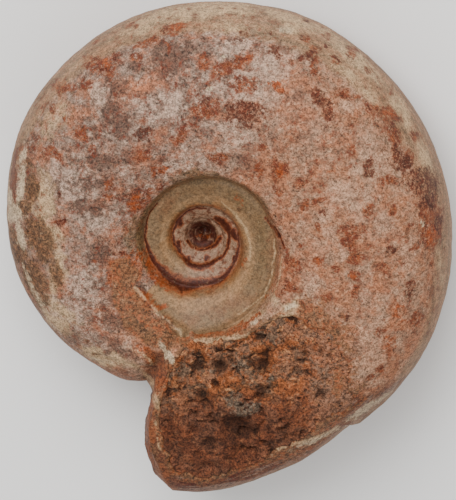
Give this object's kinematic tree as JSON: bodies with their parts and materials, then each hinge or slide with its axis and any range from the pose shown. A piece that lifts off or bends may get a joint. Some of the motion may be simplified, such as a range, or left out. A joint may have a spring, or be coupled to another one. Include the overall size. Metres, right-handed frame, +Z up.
{
  "type": "ammonite fossil",
  "caption": "Smooth thick-whorled ammonite fossil lying on its flank, with a stepped umbilicus, rusty stone surface and a broken mouth filled with coarse sandstone.",
  "frame": {"origin": "middle of the bounding box's base, on the surface that the fossil lies on", "axes": "+Z up, near the coil's axis; +Y along the longest extent, away from the broken mouth; +X to the right"},
  "size_m": [0.0936, 0.1058, 0.0466],
  "materials": {
    "stone": "dull, fine-grained, rust and grey mottled"
  },
  "bodies": {
    "root": {"ammonite": "stone"}
  },
  "joints": []
}
